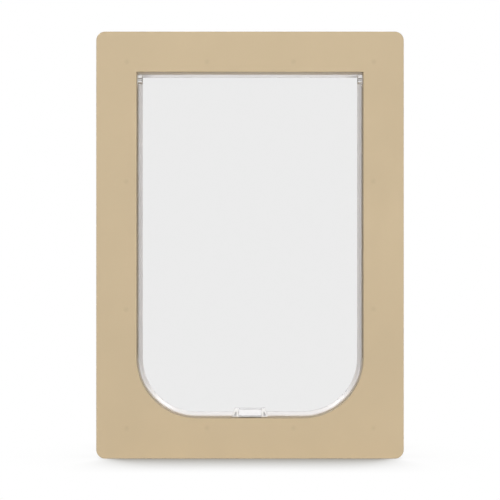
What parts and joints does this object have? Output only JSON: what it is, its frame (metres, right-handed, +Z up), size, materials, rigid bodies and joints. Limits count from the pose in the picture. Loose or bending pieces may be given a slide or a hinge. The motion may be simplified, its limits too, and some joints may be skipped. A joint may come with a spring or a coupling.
{
  "type": "pet door",
  "caption": "Pet door with tan moulded outdoor and indoor frames that clamp a door leaf, and a clear rimmed flap, hung at its top corners, that swings both ways.",
  "frame": {"origin": "centre of the opening, on the plane where the outer frame's lip meets the outdoor face of the door leaf", "axes": "+Z up, -Y outdoors, +X to the right as seen from outdoors"},
  "size_m": [0.35, 0.0622, 0.486],
  "materials": {
    "frame_plastic": "tan moulded plastic, fine satin texture",
    "screw_steel": "zinc-plated steel",
    "clear_flap": "clear moulded plastic, gloss",
    "clear_clip": "clear moulded plastic, gloss",
    "plated_magnet": "nickel-plated magnet",
    "ferrite_magnet": "dark sintered ferrite",
    "pin_steel": "bright stainless steel",
    "bush_plastic": "off-white acetal",
    "weather_pile": "grey-brown woven pile"
  },
  "bodies": {
    "frame": {"outer_frame": "frame_plastic", "inner_frame": "frame_plastic", "frame_screws": "screw_steel", "hinge_bush_left": "bush_plastic", "hinge_bush_right": "bush_plastic", "pile_strip_left": "weather_pile", "pile_strip_right": "weather_pile", "sill_magnet": "ferrite_magnet"},
    "flap": {"flap_panel": "clear_flap", "hinge_pin_left": "pin_steel", "hinge_pin_right": "pin_steel", "magnet_clip": "clear_clip", "flap_magnet": "plated_magnet"}
  },
  "joints": [
    {"name": "flap_swing", "type": "hinge", "parent": "frame", "child": "flap", "pos_m": [0, 0.007, 0.1894], "axis": [1, 0, 0], "range_deg": [-85, 85]}
  ]
}
